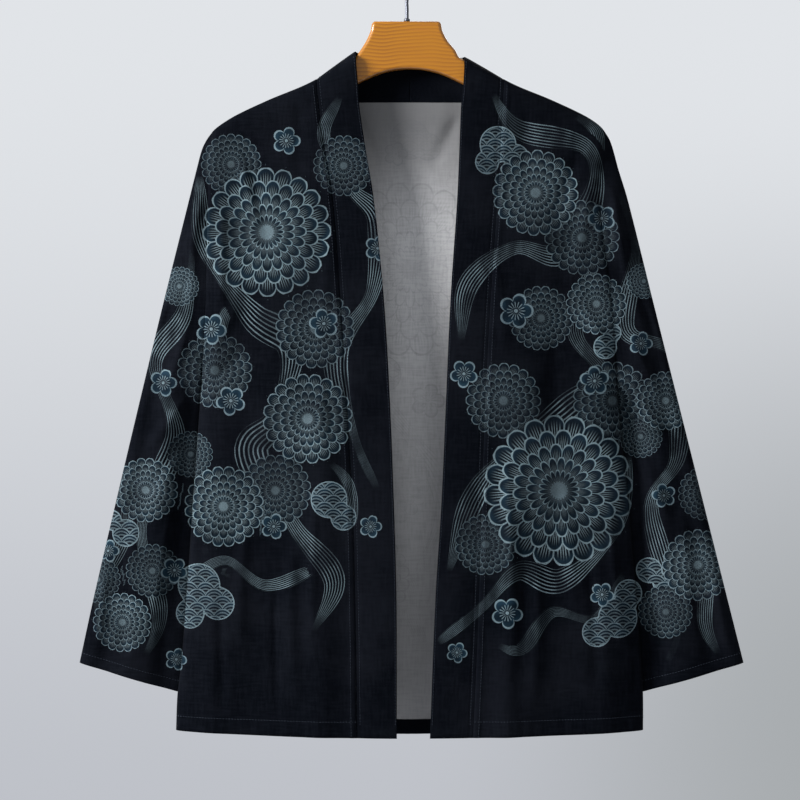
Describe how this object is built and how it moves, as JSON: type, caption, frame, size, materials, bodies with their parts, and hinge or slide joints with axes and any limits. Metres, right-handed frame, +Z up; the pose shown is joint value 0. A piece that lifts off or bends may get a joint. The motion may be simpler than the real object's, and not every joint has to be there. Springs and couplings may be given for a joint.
{
  "type": "kimono jacket on a hanger",
  "caption": "Hip-length open kimono jacket with a straight neckband and wide sleeves, hung on a wooden hanger with a wire hook.",
  "frame": {"origin": "just inside the top of the hook's crook, where a rail carries the hanger", "axes": "+Z up along the hanging garment, -Y out of its front, +X to the right as seen from the front; left and right in node names are as seen from the front"},
  "size_m": [0.7445, 0.0613, 0.8797],
  "materials": {
    "panels": "matt dark navy cotton with a slight slub, printed in fine grey-blue lines on the outside, mid grey on the wrong side",
    "sleeves": "the same printed navy cotton",
    "neckband": "the same cotton folded double, darker inside the neck",
    "wood": "honey-coloured pale wood with clear satin varnish and dark wavy grain",
    "hook_wire": "dark bright-drawn steel wire",
    "ferrule_ring": "dark steel"
  },
  "bodies": {
    "root": {"back": "panels", "front_left": "panels", "front_right": "panels", "sleeve_left": "sleeves", "sleeve_right": "sleeves", "neckband_left": "neckband", "neckband_right": "neckband", "hanger_wood": "wood", "hook": "hook_wire", "ferrule": "ferrule_ring"}
  },
  "joints": []
}
